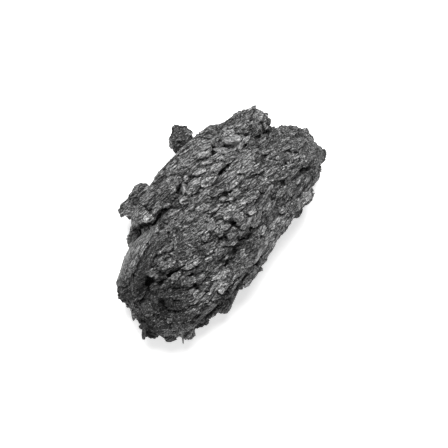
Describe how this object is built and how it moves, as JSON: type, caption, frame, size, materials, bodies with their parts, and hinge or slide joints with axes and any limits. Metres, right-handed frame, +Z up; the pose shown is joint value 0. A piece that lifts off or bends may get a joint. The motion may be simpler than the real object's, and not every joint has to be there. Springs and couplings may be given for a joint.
{
  "type": "graphite crumb",
  "caption": "Rough oblong crumb of foliated graphite with layered scales, ledges and cracks, resting on a flat broken underside.",
  "frame": {"origin": "on the flat that the crumb rests on, under the middle of the crumb", "axes": "+X along the crumb towards the end with two lobes, +Y towards the side with the smooth outer slab, +Z up"},
  "size_m": [0.0377, 0.0226, 0.0146],
  "materials": {
    "graphite": "dull metallic, foliated and grainy"
  },
  "bodies": {
    "root": {"graphite_crumb": "graphite"}
  },
  "joints": []
}
